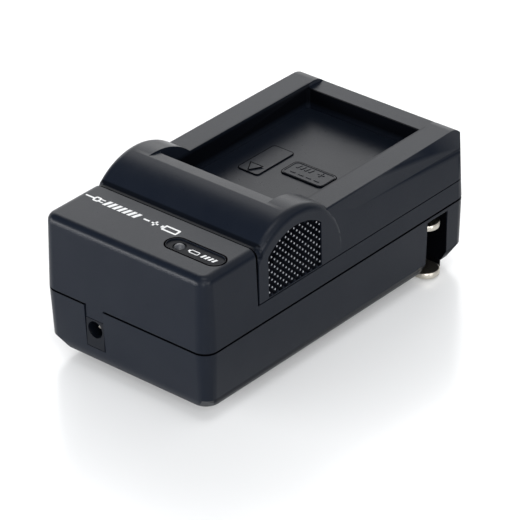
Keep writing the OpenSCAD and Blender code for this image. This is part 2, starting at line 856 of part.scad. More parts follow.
// A spring that meets a blade's tail when the plug is turned out.
module mains_spring(s) {
    rim_z = sqrt(pow(rotor_r, 2) - pow(blade_pitch / 2 - spring_w / 2, 2));
    nose_z = axis_z + max(rim_z, blade_pitch / 2 + blade_t / 2) + 0.15;
    top_z = parting_z + strip_t / 2;
    tail_y = pocket_front - wall - 0.5;
    color([0.85, 0.68, 0.35])
    translate([rotor_x + s * blade_pitch / 2, 0, 0])
        along_x(spring_w)
            bent_strip([
                [tail_y, board_top], [tail_y, top_z], [plug_y - spring_half, top_z],
                [plug_y - spring_half / 2, nose_z + strip_t / 2],
                [plug_y + spring_half / 2, nose_z + strip_t / 2],
                [plug_y + spring_half, parting_z - 0.6]
            ], strip_t);
}

// A bowed leaf that holds the rotor at each end of its turn.
module detent_spring() {
    bow = detent_seat + free_gap - strip_t - fit_gap;
    bow_r = (pow(detent_half, 2) + pow(bow, 2)) / (2 * bow);
    color(metal_colour)
    translate([rotor_x - pocket_r - detent_seat + strip_t, plug_y, axis_z])
        along_y(detent_w)
            intersection() {
                translate([bow - bow_r, 0]) difference() {
                    circle(bow_r);
                    circle(bow_r - strip_t);
                }
                translate([-strip_t, -detent_half]) square([detent_w, 2 * detent_half]);
            }
}

// A pan-head screw, head down, with a crossed recess.
module case_screw(p) {
    head_h = 1.8;
    color([0.55, 0.56, 0.58])
    translate([p[0], p[1], screw_seat_z]) {
        difference() {
            translate([0, 0, -head_h])
                rotate_extrude() {
                    square([screw_head_d / 2 - 0.6, head_h]);
                    translate([0, 0.6]) square([screw_head_d / 2, head_h - 0.6]);
                    translate([screw_head_d / 2 - 0.6, 0.6]) circle(0.6, $fn = 24);
                }
            for (a = [0, 90])
                rotate([0, 0, a])
                    translate([-screw_head_d * 0.3, -0.3, -head_h - 1])
                        cube([screw_head_d * 0.6, 0.6, 1.9]);
        }
        cylinder(d = screw_d, h = screw_len - 1);
        translate([0, 0, screw_len - 1]) cylinder(d1 = screw_d, d2 = 1, h = 1);
    }
}

// One blade, folded: its flat faces level and its tip to +X.
module blade(s) {
    color(metal_colour)
    translate([rotor_x, plug_y, axis_z])
        intersection() {
            translate([0, 0, s * blade_pitch / 2 - blade_t / 2])
                linear_extrude(blade_t) {
                    translate([-rotor_r, -blade_w / 2])
                        square([rotor_r + blade_reach - blade_tip_r, blade_w]);
                    translate([blade_reach - blade_tip_r, 0]) circle(blade_tip_r);
                }
            union() {
                along_y(blade_w + 2) circle(rotor_r - 0.05);
                span([0, -blade_w, -blade_pitch], [big, blade_w, blade_pitch]);
            }
        }
}

module plug_rotor() {
    color([0.12, 0.12, 0.13])
    difference() {
        translate([rotor_x, plug_y, axis_z]) {
            along_y(rotor_l) {
                intersection() {
                    circle(rotor_r);
                    square(2 * rotor_flat, center = true);
                }
                translate([0, -rotor_flat]) square(rotor_flat);
            }
            along_y(2 * (pocket_half + trunnion_l - 0.1)) circle(trunnion_r);
        }
        for (s = [-1, 1])
            translate([rotor_x, plug_y, axis_z + s * blade_pitch / 2])
                translate([-rotor_r, -blade_w / 2, -blade_t / 2])
                    cube([2 * rotor_r, blade_w, blade_t]);
    }
}

base_shell();
upper_shell();
bay_module();
indicator_window();
charge_lamp();
contact_block();
battery_contact(-1);  // battery_contact_plus
battery_contact(0);  // battery_contact_sense
battery_contact(1);  // battery_contact_minus
socket_body();
socket_pin();
socket_spring();
circuit_board();
transformer_core();
transformer_winding();
mains_capacitor();
output_capacitor();
bridge_rectifier();
fuse_resistor();
controller_chip();
power_transistor();
mains_spring(-1);  // mains_spring_left
mains_spring(1);  // mains_spring_right
detent_spring();
case_screw(screw_points[0]);  // case_screw_1
case_screw(screw_points[1]);  // case_screw_2
case_screw(screw_points[2]);  // case_screw_3
case_screw(screw_points[3]);  // case_screw_4
plug_rotor();
blade(1);  // plug_blade_upper
blade(-1);  // plug_blade_lower
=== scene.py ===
import json
import math

import bmesh
import bpy
from mathutils import Matrix, Vector

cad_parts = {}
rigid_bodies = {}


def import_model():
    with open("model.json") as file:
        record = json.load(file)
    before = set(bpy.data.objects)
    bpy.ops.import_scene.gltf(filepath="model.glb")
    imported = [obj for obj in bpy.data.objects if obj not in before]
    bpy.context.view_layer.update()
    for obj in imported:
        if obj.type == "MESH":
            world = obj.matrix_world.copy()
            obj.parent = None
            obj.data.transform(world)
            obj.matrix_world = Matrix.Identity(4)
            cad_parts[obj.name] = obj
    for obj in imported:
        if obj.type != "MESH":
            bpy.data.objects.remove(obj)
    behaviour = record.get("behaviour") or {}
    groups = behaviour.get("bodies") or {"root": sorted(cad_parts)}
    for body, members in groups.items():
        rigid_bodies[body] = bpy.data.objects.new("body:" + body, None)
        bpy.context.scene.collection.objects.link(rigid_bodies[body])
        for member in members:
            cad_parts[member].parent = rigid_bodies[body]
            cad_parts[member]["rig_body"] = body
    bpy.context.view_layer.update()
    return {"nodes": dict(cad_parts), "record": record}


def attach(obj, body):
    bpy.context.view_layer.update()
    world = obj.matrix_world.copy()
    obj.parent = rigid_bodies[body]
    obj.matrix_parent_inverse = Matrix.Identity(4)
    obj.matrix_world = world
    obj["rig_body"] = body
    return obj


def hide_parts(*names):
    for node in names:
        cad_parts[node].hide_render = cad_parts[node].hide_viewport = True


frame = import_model()
mm = 0.001
scene = bpy.context.scene
slotOf = {row["node"]: row["material_slot"] for row in frame["record"]["subparts"]}
bodyOf = {name: node["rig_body"] for name, node in frame["nodes"].items()}
print("frame loaded:", len(frame["nodes"]), "nodes")


# Shader maths: a Wire is a node's output, and an expression on wires adds Math nodes
class Wire:
    def __init__(self, tree, socket):
        self.tree = tree
        self.socket = socket

    def math(self, operation, *values):
        node = self.tree.nodes.new("ShaderNodeMath")
        node.operation = operation
        for place, value in zip(node.inputs, values):
            if isinstance(value, Wire):
                self.tree.links.new(value.socket, place)
            else:
                place.default_value = value
        return Wire(self.tree, node.outputs[0])

    def __add__(self, other):
        return self.math("ADD", self, other)

    def __radd__(self, other):
        return self.math("ADD", other, self)

    def __sub__(self, other):
        return self.math("SUBTRACT", self, other)

    def __mul__(self, other):
        return self.math("MULTIPLY", self, other)

    def __rmul__(self, other):
        return self.math("MULTIPLY", other, self)


class Finish:
    def __init__(self, name):
        self.material = bpy.data.materials.new(name)
        self.material.use_nodes = True
        self.tree = self.material.node_tree
        self.tree.nodes.clear()
        self.out = self.tree.nodes.new("ShaderNodeOutputMaterial")
        self.place = self.node("ShaderNodeTexCoord", output="Object")

    # Any node: its settings first, then the values or wires of its sockets
    def node(self, kind, settings=None, values=None, output=0):
        made = self.tree.nodes.new(kind)
        for key, value in (settings or {}).items():
            if key == "stops":
                ramp = made.color_ramp.elements
                while len(ramp) < len(value):
                    ramp.new(0.5)
                for stop, (position, colour) in zip(ramp, value):
                    stop.position = position
                    stop.color = colour
            else:
                setattr(made, key, value)
        for key, value in (values or {}).items():
            socket = made.inputs[key]
            if isinstance(value, Wire):
                self.tree.links.new(value.socket, socket)
            else:
                socket.default_value = value
        return Wire(self.tree, made.outputs[output])

    def noise(self, scale, detail=2.0, roughness=0.5, where=None):
        return self.node("ShaderNodeTexNoise", {},
                         {"Vector": where or self.place, "Scale": scale,
                          "Detail": detail, "Roughness": roughness})

    def ramp(self, wire, *stops):
        shades = [(place, (level, level, level, 1)) for place, level in stops]
        return self.node("ShaderNodeValToRGB", {"stops": shades}, {"Fac": wire})

    def blend(self, factor, first, second):
        node = self.tree.nodes.new("ShaderNodeMix")
        node.data_type = "RGBA"
        for place, value in ((0, factor), (6, first), (7, second)):
            if isinstance(value, Wire):
                self.tree.links.new(value.socket, node.inputs[place])
            elif place == 0:
                node.inputs[0].default_value = value
            else:
                node.inputs[place].default_value = (*value, 1)
        return Wire(self.tree, node.outputs[2])

    def bump(self, height, strength, distance):
        return self.node("ShaderNodeBump", {}, {"Height": height, "Strength": strength,
                                                "Distance": distance})

    # Climbs from 0 at the first level to 1 at the second
    def climb(self, wire, start, end):
        return self.node("ShaderNodeMapRange", {}, {"Value": wire, "From Min": start,
                                                    "From Max": end})

    # 1 between the two levels, 0 outside, with soft borders
    def between(self, wire, low, high, soft):
        return (self.climb(wire, low - soft, low + soft)
                * self.climb(wire, high + soft, high - soft))

    def shader(self, values):
        names = {key.replace("_", " "): value for key, value in values.items()}
        for key, value in names.items():
            if isinstance(value, tuple) and len(value) == 3:
                names[key] = (*value, 1)
        return self.node("ShaderNodeBsdfPrincipled", {}, names)

    # The second look shows where the shade is 1
    def surface(self, shade=None, second=None, **values):
        shown = self.shader(values)
        if shade:
            other = self.shader(second)
            mixed = self.tree.nodes.new("ShaderNodeMixShader")
            for place, wire in zip(mixed.inputs, (shade, shown, other)):
                self.tree.links.new(wire.socket, place)
            shown = Wire(self.tree, mixed.outputs[0])
        self.tree.links.new(shown.socket, self.out.inputs["Surface"])
        return self.material


# Middle of the grip panel in Y and Z, and half of the stretch that is sure to lie inside it (mm)
gripMiddle = (-15.8, 28.0)
gripInside = (6, 4)
# Distance of the pyramids' points from the middle plane, read off the part (mm)
gripTop = max(abs(v.co.x) / mm for v in frame["nodes"]["bay_module"].data.vertices
              if abs(v.co.y / mm - gripMiddle[0]) < gripInside[0]
              and abs(v.co.z / mm - gripMiddle[1]) < gripInside[1])
print("grip points at", round(gripTop, 3), "mm")

mouldedPlastic = {
    "colour": (0.0052, 0.0075, 0.0130),
    "worn": (0.0070, 0.0094, 0.0152),
    "roughness": 0.30,
    "specular": 0.115,
    "patches": 90,       # features per metre: worn patches, moulding flow, spark-eroded grain
    "flow": 420,
    "grain": 3400,
    "grainDepth": 0.05 * mm,
    # the near-black look of the painted shade
    "hollowLook": {"Base_Color": (0.0016, 0.0018, 0.0026), "Roughness": 0.9,
                   "Specular_IOR_Level": 0.0},
    # Painted shade, where the plastic is painted darker, in mm: low, high and softness of each
    # span.
    # X is the distance from the middle plane, except where only the right side is meant
    "hollows": [
        # bay walls
        {"x": (-1, 17.65, 0.1), "y": (-14.2, 38.5, 0.1), "z": (31.2, 35.9, 0.7), "depth": 0.9},
        # between the grip's pyramids
        {"x": (gripTop - 0.7, gripTop - 0.2, 0.1), "y": (-24.85, -6.75, 0.05),
         "z": (23.0, 37.2, 0.1), "depth": 0.85},
        # lower chamfer of the long sides, painted darker over its reflection of the floor
        {"x": (22.75, 25, 0.1), "y": (-44, 46, 0.5), "z": (2.6, 5.75, 0.1), "depth": 0.4},
        # notch for the blades
        {"x": (6, 23.9, 0.15), "y": (30.5, 38.4, 0.1), "z": (2.5, 16.9, 0.1), "depth": 0.97,
         "rightOnly": True},
        # lip before the hump, and the hump's foot
        {"x": (-1, 23.4, 0.1), "y": (-28.1, -27.1, 0.05), "z": (35.8, 36.4, 0.05), "depth": 0.5},
        {"x": (-1, 23.4, 0.1), "y": (-27.2, -26.3, 0.05), "z": (36.25, 36.95, 0.15),
         "depth": 0.7},
    ],
}


# 1 where a look is painted with shade, 0 elsewhere
def paintedShadeMask(skin, zones):
    x, y, z = (skin.node("ShaderNodeSeparateXYZ", {}, {"Vector": skin.place}, axis)
               for axis in range(3))
    outward = x.math("ABSOLUTE", x)
    shade = 0
    for zone in zones:
        across = x if "rightOnly" in zone else outward
        inside = zone["depth"]
        for wire, span in ((across, zone["x"]), (y, zone["y"]), (z, zone["z"])):
            inside = inside * skin.between(wire, *(value * mm for value in span))
        shade = shade + inside
    return shade.math("MINIMUM", shade, 1.0)


# Satin charcoal plastic with the fine spark-eroded skin of a moulding, and painted shade by
# position
def casePlastic(name="casePlastic", look=mouldedPlastic, darker=1.0):
    skin = Finish(name)
    patches = skin.noise(look["patches"], 3, 0.6)
    grain = skin.noise(look["grain"], 3, 0.65)
    flow = skin.noise(look["flow"], 2, 0.5)
    tint = skin.blend(skin.ramp(patches, (0.3, 0), (0.75, 1)),
                      tuple(c * darker for c in look["colour"]),
                      tuple(c * darker for c in look["worn"]))
    rough = look["roughness"] + 0.10 * (grain - 0.5) + 0.06 * (flow - 0.5)
    normal = skin.bump(grain, 0.35, look["grainDepth"])
    # painted shade: the near-black look is mixed in by position
    return skin.surface(paintedShadeMask(skin, look["hollows"]), look["hollowLook"],
                        Base_Color=tint, Roughness=rough, Normal=normal,
                        Specular_IOR_Level=look["specular"])


def windowPlastic():
    skin = Finish("windowPlastic")
    grain = skin.noise(2600, 2)
    return skin.surface(Base_Color=(0.010, 0.011, 0.014), Roughness=0.30 + 0.08 * grain,
                        Normal=skin.bump(grain, 0.15, 0.02 * mm), Specular_IOR_Level=0.03)


def lampLens():
    skin = Finish("lampLens")
    frost = skin.noise(3000, 3)
    tint = skin.blend(frost, (0.038, 0.041, 0.048), (0.055, 0.058, 0.066))
    return skin.surface(Base_Color=tint, Roughness=0.35, Normal=skin.bump(frost, 0.2, 0.02 * mm))


def printInk():
    skin = Finish("printInk")
    speckle = skin.noise(5200, 3, 0.7)
    tint = skin.blend(skin.ramp(speckle, (0.30, 1), (0.42, 0)),
                      (0.80, 0.81, 0.82), (0.35, 0.36, 0.38))
    return skin.surface(Base_Color=tint, Roughness=0.55, Specular_IOR_Level=0.2)


# Near-black painted shade: the lining of the shadow gaps, and the other dark sheets
def gapDark():
    skin = Finish("gapDark")
    shadeMottle = skin.noise(800, 2)
    tint = skin.blend(shadeMottle, (0.0012, 0.0012, 0.0016), (0.003, 0.003, 0.0036))
    return skin.surface(Base_Color=tint, Roughness=0.95, Specular_IOR_Level=0.0)


def metal(name, colour, shade, roughness, streaks):
    skin = Finish(name)
    stretched = skin.node("ShaderNodeMapping", {}, {"Vector": skin.place, "Scale": streaks})
    drawn = skin.noise(900, 3, 0.6, stretched)
    cloud = skin.noise(260, 3, 0.6)
    tint = skin.blend(cloud, colour, shade)
    return skin.surface(Base_Color=tint, Metallic=1.0, Roughness=roughness + 0.16 * drawn,
                        Normal=skin.bump(drawn, 0.12, 0.02 * mm))


def plainFinish(name, colour, other, roughness):
    skin = Finish(name)
    cloud = skin.noise(700, 3, 0.6)
    return skin.surface(Base_Color=skin.blend(cloud, colour, other),
                        Roughness=roughness + 0.08 * cloud,
                        Normal=skin.bump(cloud, 0.15, 0.03 * mm))


finishes = {
    "case_plastic": casePlastic(),
    "window_plastic": windowPlastic(),
    "lamp": lampLens(),
    "black_insert": casePlastic("blackInsert", mouldedPlastic, 0.55),
    "gold_contact": metal("goldContact", (0.80, 0.58, 0.26), (0.70, 0.48, 0.20), 0.22, (1, 1, 6)),
    "nickel": metal("nickel", (0.60, 0.57, 0.51), (0.50, 0.47, 0.41), 0.22, (1, 8, 1)),
    "screw_steel": metal("screwSteel", (0.32, 0.32, 0.33), (0.24, 0.24, 0.25), 0.34, (6, 1, 1)),
    "board": plainFinish("boardMask", (0.03, 0.14, 0.06), (0.04, 0.18, 0.08), 0.35),
    "ferrite": plainFinish("ferrite", (0.05, 0.05, 0.05), (0.09, 0.09, 0.09), 0.6),
    "tape": plainFinish("windingTape", (0.70, 0.46, 0.05), (0.78, 0.56, 0.10), 0.4),
    "sleeve": plainFinish("canSleeve", (0.015, 0.02, 0.05), (0.03, 0.035, 0.08), 0.3),
    "resistor": plainFinish("resistorLacquer", (0.10, 0.20, 0.10), (0.14, 0.26, 0.14), 0.4),
}
ink = printInk()
# Lighter plastic as painted highlights on the points of the grip's pyramids
tipPlastic = plainFinish("tipPlastic", (0.15, 0.16, 0.18), (0.24, 0.25, 0.27), 0.35)
paintedShadeFinish = gapDark()
print("finishes made:", len(finishes))


lipEnds = {    # mm: the rounding's centre in X and Z, its radius, the lip's stretch in Y
    "centre": (21.6, 34.3), "radius": 2.0, "y": (-28.6, -26.6),
    "around": 1.0, "above": 0.2, "slack": 0.01,    # room round the rounding, slack in comparing
    "cuts": 8, "smallFace": 4,                     # number of strips, mm2
}


# The lip before the hump follows the deck's rounded edge at its two ends
def roundLip(bm, form):
    x, z = form["centre"]
    radius, around, slack = form["radius"], form["around"], form["slack"]
    front, back = form["y"]

    def near(vertex, sign):
        place = vertex.co / mm
        return (front < place.y < back + slack and place.x * sign > x - around - slack
                and z - around - slack < place.z < z + radius + form["above"])

    def cut(faces, place, normal):
        parts = set(faces)
        for face in faces:
            parts.update(face.edges)
            parts.update(face.verts)
        bmesh.ops.bisect_plane(bm, geom=list(parts), dist=0.001 * mm,
                               plane_co=Vector(place) * mm, plane_no=normal)

    for sign in (-1, 1):
        # First the lip's end is cut off from the large faces, then it is cut into strips
        cut([f for f in bm.faces if any(near(v, sign) for v in f.verts)],
            (0, back, 0), (0, 1, 0))
        for place, normal in (((sign * (x - around), 0, 0), (1, 0, 0)),
                              ((0, 0, z - around), (0, 0, 1))):
            cut([f for f in bm.faces if any(near(v, sign) for v in f.verts)
                 and all(v.co.y / mm < back + slack for v in f.verts)], place, normal)
        for k in range(1, form["cuts"]):
            a = math.radians(90 * k / form["cuts"])
            for place, normal in (((sign * (x + radius * math.sin(a)), 0, 0), (1, 0, 0)),
                                  ((0, 0, z + radius * math.cos(a)), (0, 0, 1))):
                cut([f for f in bm.faces if all(near(v, sign) for v in f.verts)], place, normal)
        moved = set()
        for vertex in bm.verts:
            dx, dz = vertex.co.x * sign / mm - x, vertex.co.z / mm - z
            reach = math.hypot(dx, dz)
            if near(vertex, sign) and dx > 0 and dz > 0 and reach > radius:
                vertex.co.x = sign * (x + dx * radius / reach) * mm
                vertex.co.z = (z + dz * radius / reach) * mm
                moved.update(f for f in vertex.link_faces
                             if f.calc_area() < form["smallFace"] * mm * mm)
        bmesh.ops.triangulate(bm, faces=list(moved))


smoothing = {
    "weld": 0.002, "largeFace": 45,                   # mm, mm2
    "flat": 0.05, "crease": 0.7, "roundedFrom": 35,   # degrees
    "segments": 2,
}


# A CAD node's shape with welded faces, rounded edges and smooth shading
def softened(node, name, width, rules):
    bm = bmesh.new()
    bm.from_mesh(frame["nodes"][node].data)
    bmesh.ops.remove_doubles(bm, verts=bm.verts, dist=rules["weld"] * mm)
    bmesh.ops.dissolve_limit(bm, angle_limit=math.radians(rules["flat"]),
                             verts=bm.verts, edges=bm.edges)
    if node == "bay_module":
        roundLip(bm, lipEnds)
    for face in bm.faces:
        face.smooth = True
    # A slight crease between two large faces stays a crease
    largeFace = rules["largeFace"] * mm * mm
    for edge in bm.edges:
        if len(edge.link_faces) == 2 and min(f.calc_area() for f in edge.link_faces) > largeFace:
            edge.smooth = edge.calc_face_angle() < math.radians(rules["crease"])
    mesh = bpy.data.meshes.new(name)
    bm.to_mesh(mesh)
    bm.free()
    piece = bpy.data.objects.new(name, mesh)
    scene.collection.objects.link(piece)
    edges = piece.modifiers.new("edges", "BEVEL")
    edges.width = width * mm
    edges.segments = rules["segments"]
    edges.limit_method = "ANGLE"
    edges.angle_limit = math.radians(rules["roundedFrom"])
    edges.use_clamp_overlap = True
    shade = piece.modifiers.new("shade", "WEIGHTED_NORMAL")
    shade.keep_sharp = True
    piece.data.materials.append(finishes[slotOf[node]])
    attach(piece, bodyOf[node])
    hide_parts(node)


edgeRounding = {   # mm
    "base_shell": 0.2, "upper_shell": 0.2, "bay_module": 0.2, "indicator_window": 0.3,
    "charge_lamp": 0.1, "socket_body": 0.12, "socket_pin": 0.08, "plug_rotor": 0.25,
    "plug_blade_upper": 0.3, "plug_blade_lower": 0.3,
}
for node, width in edgeRounding.items():
    words = node.split("_")
    softened(node, words[0] + "".join(w.capitalize() for w in words[1:]), width, smoothing)
for node, shape in frame["nodes"].items():
    if node not in edgeRounding:
        shape.data.materials.clear()
        shape.data.materials.append(finishes[slotOf[node]])
print("pieces dressed")


def newPiece(name, vertices, faces, material, body="housing"):
    mesh = bpy.data.meshes.new(name)
    mesh.from_pydata([Vector(v) * mm for v in vertices], [], faces)
    mesh.update()
    piece = bpy.data.objects.new(name, mesh)
    scene.collection.objects.link(piece)
    piece.data.materials.append(material)
    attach(piece, body)
    return piece


caseForm = {        # mm, as in the part's source
    "width": 48.6, "length": 91.2, "corner": 3.5, "seam": 0.55,
    "parting": 18.1, "band": 22.7, "deck": 36.5, "seamY": -28.45,
    "socketGap": (-12.0, -6.25),
}
liningForm = {      # mm: space between a lining and the solid, and the seam's lining
    "space": 0.02, "sink": 0.03, "partingMouth": 0.12, "bandMouth": 0.3,
    "seamDepth": 1.18, "seamMouth": 0.72, "seamBend": 0.82, "seamFoot": 0.1,
}
markSkin = 0.012    # mm, thickness of print


# Points round a rectangle with round corners, anticlockwise from the right side
def planLoop(width, length, corner, steps=12):
    loop = []
    for turn, (sx, sy) in enumerate(((1, 1), (-1, 1), (-1, -1), (1, -1))):
        for i in range(steps + 1):
            a = math.radians(90 * (turn + i / steps))
            loop.append((sx * (width / 2 - corner) + corner * math.cos(a),
                         sy * (length / 2 - corner) + corner * math.sin(a)))
    return loop


# A loop with its long sides cut up, so that a stretch can be left out
def cutUp(loop):
    longest = 1.0
    points = []
    for (x, y), (nextX, nextY) in zip(loop, loop[1:] + loop[:1]):
        parts = max(1, math.ceil(math.hypot(nextX - x, nextY - y) / longest))
        points += [(x + (nextX - x) * i / parts, y + (nextY - y) * i / parts)
                   for i in range(parts)]
    return points


# A near-black lining as painted shade in a gap, following the case's outline; the profile is
# (inset, height) points
def gapShadeLining(name, form, profile, wanted):
    outline = cutUp(planLoop(form["width"], form["length"], form["corner"]))
    coreX, coreY = form["width"] / 2 - form["corner"], form["length"] / 2 - form["corner"]
    vertices = []
    for inset, height in profile:
        for x, y in outline:
            out = Vector((x - max(-coreX, min(coreX, x)), y - max(-coreY, min(coreY, y))))
            out.normalize()
            vertices.append((x - out.x * inset, y - out.y * inset, height))
    count = len(outline)
    faces = []
    for k in range(len(profile) - 1):
        low, high = k * count, (k + 1) * count
        for i in range(count):
            j = (i + 1) % count
            if wanted(*((a + b) / 2 for a, b in zip(outline[i], outline[j]))):
                faces.append((low + i, low + j, high + j, high + i))
    newPiece(name, vertices, faces, paintedShadeFinish)


# Near-black linings as painted shade in the parting gap, the band gap and the seam
def makeShadeLinings(form, lining):
    low, high = form["socketGap"]
    seam, space, sink = form["seam"], lining["space"], lining["sink"]
    top, bottom = form["parting"] - space, form["parting"] - seam + space
    gapShadeLining("partingLining", form,
              [(seam - sink, top), (seam - sink, bottom), (lining["partingMouth"], bottom)],
              lambda x, y: not (y < 0 and low < x < high))
    top, bottom = form["band"] + seam / 2 - space, form["band"] + space
    gapShadeLining("bandLining", form,
              [(2 * seam - sink, top), (2 * seam - sink, bottom), (lining["bandMouth"], bottom)],
              lambda x, y: y > form["seamY"] + seam)
    # The painted shade in the gap between the deck and the bay moulding: over the top, and down
    # both sides.
    # Each point of the path is the centre of a turn, the turn's angle and its radius
    y1, y2 = form["seamY"] + space, form["seamY"] + seam - space
    side = form["width"] / 2 - lining["seamDepth"]
    roof = form["deck"] - lining["seamDepth"]
    mouth, bend = lining["seamMouth"], lining["seamBend"]
    path = [(side, form["band"] + lining["seamFoot"], 0, 0)]
    path += [(side - bend, roof - bend, 15 * i, bend) for i in range(7)]
    path += [(-x, z, 180 - turn, radius) for x, z, turn, radius in reversed(path)]
    vertices, faces = [], []
    for x, z, turn, radius in path:
        outX, outZ = math.cos(math.radians(turn)), math.sin(math.radians(turn))
        for y, rise in ((y1, mouth), (y1, 0), (y2, 0), (y2, mouth)):
            vertices.append((x + outX * (radius + rise), y, z + outZ * (radius + rise)))
    for k in range(len(path) - 1):
        faces += [(4 * k + i, 4 * k + i + 1, 4 * k + i + 5, 4 * k + i + 4) for i in range(3)]
    newPiece("seamLining", vertices, faces, paintedShadeFinish)


makeShadeLinings(caseForm, liningForm)
print("gap linings made")


# Prisms standing on a level surface, from outlines in X and Y
def stampMarks(name, outlines, height, thickness, material):
    vertices, faces = [], []
    for outline in outlines:
        start, count = len(vertices), len(outline)
        vertices += [(x, y, height) for x, y in outline]
        vertices += [(x, y, height + thickness) for x, y in outline]
        faces.append(tuple(range(start + count, start + 2 * count)))
        faces += [(start + i, start + (i + 1) % count, start + count + (i + 1) % count,
                   start + count + i) for i in range(count)]
    newPiece(name, vertices, faces, material)


# A bar, slanted by the lean at its ends
def bar(x1, x2, y1, y2, lean=0.0):
    return [(x1 - lean, y1), (x2 - lean, y1), (x2 + lean, y2), (x1 + lean, y2)]


# An open ring of quads round a closed outline
def ringOf(outer, inner):
    count = len(outer)
    return [[outer[i], outer[(i + 1) % count], inner[(i + 1) % count], inner[i]]
            for i in range(count)]


def shifted(loop, x, y):
    return [(x + px, y + py) for px, py in loop]


def frameOf(x, y, width, length, stroke, corner=0.3):
    steps, sharpest = 6, 0.05
    outer = planLoop(width, length, corner, steps)
    inner = planLoop(width - 2 * stroke, length - 2 * stroke,
                     max(corner - stroke, sharpest), steps)
    return ringOf(shifted(outer, x, y), shifted(inner, x, y))


deckPrint = {     # mm
    "y": -33.1, "height": 2.1, "stroke": 0.48, "right": 5.9, "lean": 0.35,
    "batteryWidth": 4.4, "batteryX": -2.3, "capX": (-5.1, -4.4), "capHalf": 0.45,
    "plusX": -7.0, "plusHalf": 0.95, "minusX": (-10.3, -8.6),
    "barX": -11.9, "barPitch": 1.45, "barWidth": 0.92, "bars": 7,
    "plugX": -24.2, "plugWidth": 1.9, "pinEnd": 2.1, "pinY": 0.5, "pinHalf": 0.17, "cordEnd": 3.4,
}


# Plain symbols in the place of the words: a battery, plus, minus, level bars and a plug
def makeDeckPrint(look):
    y, half, line, right = look["y"], look["height"] / 2, look["stroke"] / 2, look["right"]
    marks = frameOf(right + look["batteryX"], y, look["batteryWidth"], look["height"],
                    look["stroke"])
    capHalf, plusHalf = look["capHalf"], look["plusHalf"]
    marks.append(bar(*(right + x for x in look["capX"]), y - capHalf, y + capHalf))
    plus = right + look["plusX"]
    marks.append(bar(plus - plusHalf, plus + plusHalf, y - line, y + line))
    marks.append(bar(plus - line, plus + line, y - plusHalf, y + plusHalf))
    marks.append(bar(*(right + x for x in look["minusX"]), y - line, y + line))
    for i in range(look["bars"]):
        x = right + look["barX"] - look["barPitch"] * i
        marks.append(bar(x - look["barWidth"], x, y - half, y + half, look["lean"]))
    plug, edge = right + look["plugX"], look["plugWidth"] / 2
    marks += frameOf(plug, y, look["plugWidth"], look["height"] * 0.9, look["stroke"], 0.6)
    for pin in (y - look["pinY"], y + look["pinY"]):
        marks.append(bar(plug + edge, plug + look["pinEnd"],
                         pin - look["pinHalf"], pin + look["pinHalf"]))
    marks.append(bar(plug - look["cordEnd"], plug - edge, y - line, y + line))
    stampMarks("deckPrint", marks, caseForm["deck"], markSkin, ink)


makeDeckPrint(deckPrint)

windowPrint = {     # mm; the pill's middle, width and length, and the dark outline round it, painted shade of its recess
    "y": -36.6, "height": 1.3, "stroke": 0.24, "from": 12.2, "top": 36.15,
    "batteryWidth": 2.6, "capWidth": 0.35, "capHalf": 0.3,
    "barX": 3.6, "barPitch": 1.05, "barWidth": 0.6, "bars": 4, "lean": 0.2,
    "pill": (13.8, -36.6, 15.6, 4.6), "outline": (0.06, 0.5),
}


# A small battery and level bars in the place of the window's word
def makeWindowPrint(look):
    y, half, start = look["y"], look["height"] / 2, look["from"]
    marks = frameOf(start + look["batteryWidth"] / 2, y, look["batteryWidth"], look["height"],
                    look["stroke"])
    marks.append(bar(start - look["capWidth"], start, y - look["capHalf"], y + look["capHalf"]))
    for i in range(look["bars"]):
        x = start + look["barX"] + look["barPitch"] * i
        marks.append(bar(x, x + look["barWidth"], y - half, y + half, look["lean"]))
    stampMarks("windowPrint", marks, look["top"], markSkin, ink)
    x, y, width, length = look["pill"]
    inner, outer = (shifted(planLoop(width + 2 * gap, length + 2 * gap, length / 2 + gap, 16), x, y)
                    for gap in look["outline"])
    # The dark ring round the pill is painted shade of the window's recess
    stampMarks("windowMoat", ringOf(outer, inner), caseForm["deck"], markSkin,
               paintedShadeFinish)


makeWindowPrint(windowPrint)

bayMarks = {            # mm
    "floor": 29.9, "rise": 0.25, "moat": 0.1, "moatInside": 0.02,
    "moatSkin": 0.02, "edgeSkin": 0.015,
    "arrowPlate": (-8.3, 12.26, 6.3, 13.2, 0.9),    # middle, size and corner of a plate
    "sizePlate": (3.7, 13.25, 12.4, 6.4, 1.3),
    "edge": 0.17, "overhang": 0.03,
    # the arrow's point in Y, its half width and its base in Y, inside and outside the outline
    "arrow": (-8.3, 7.06), "arrowInner": (-0.9, 1.62, 1.93), "arrowOuter": (-1.3, 2.05, 2.17),
    "ribHeight": 0.12, "ribInset": 0.7, "ribStroke": 0.22, "ribCorner": 1.0,
    "ribs": 4, "ribLeft": -4.2,
    "upright": (1.2, 0.5, 0.6, 2.1, 0.15),          # pitch, width, low and high in Y, lean
    "dash": (2.3, 1.4, -1.6, -1.3, 0.0),
    "plus": ((1.6, 3.4, 1.2, 1.5), (2.35, 2.65, 0.45, 2.25)),
}


def triangle(x, y, tip, half, base):
    return [(x, y + tip), (x + half, y + base), (x - half, y + base)]
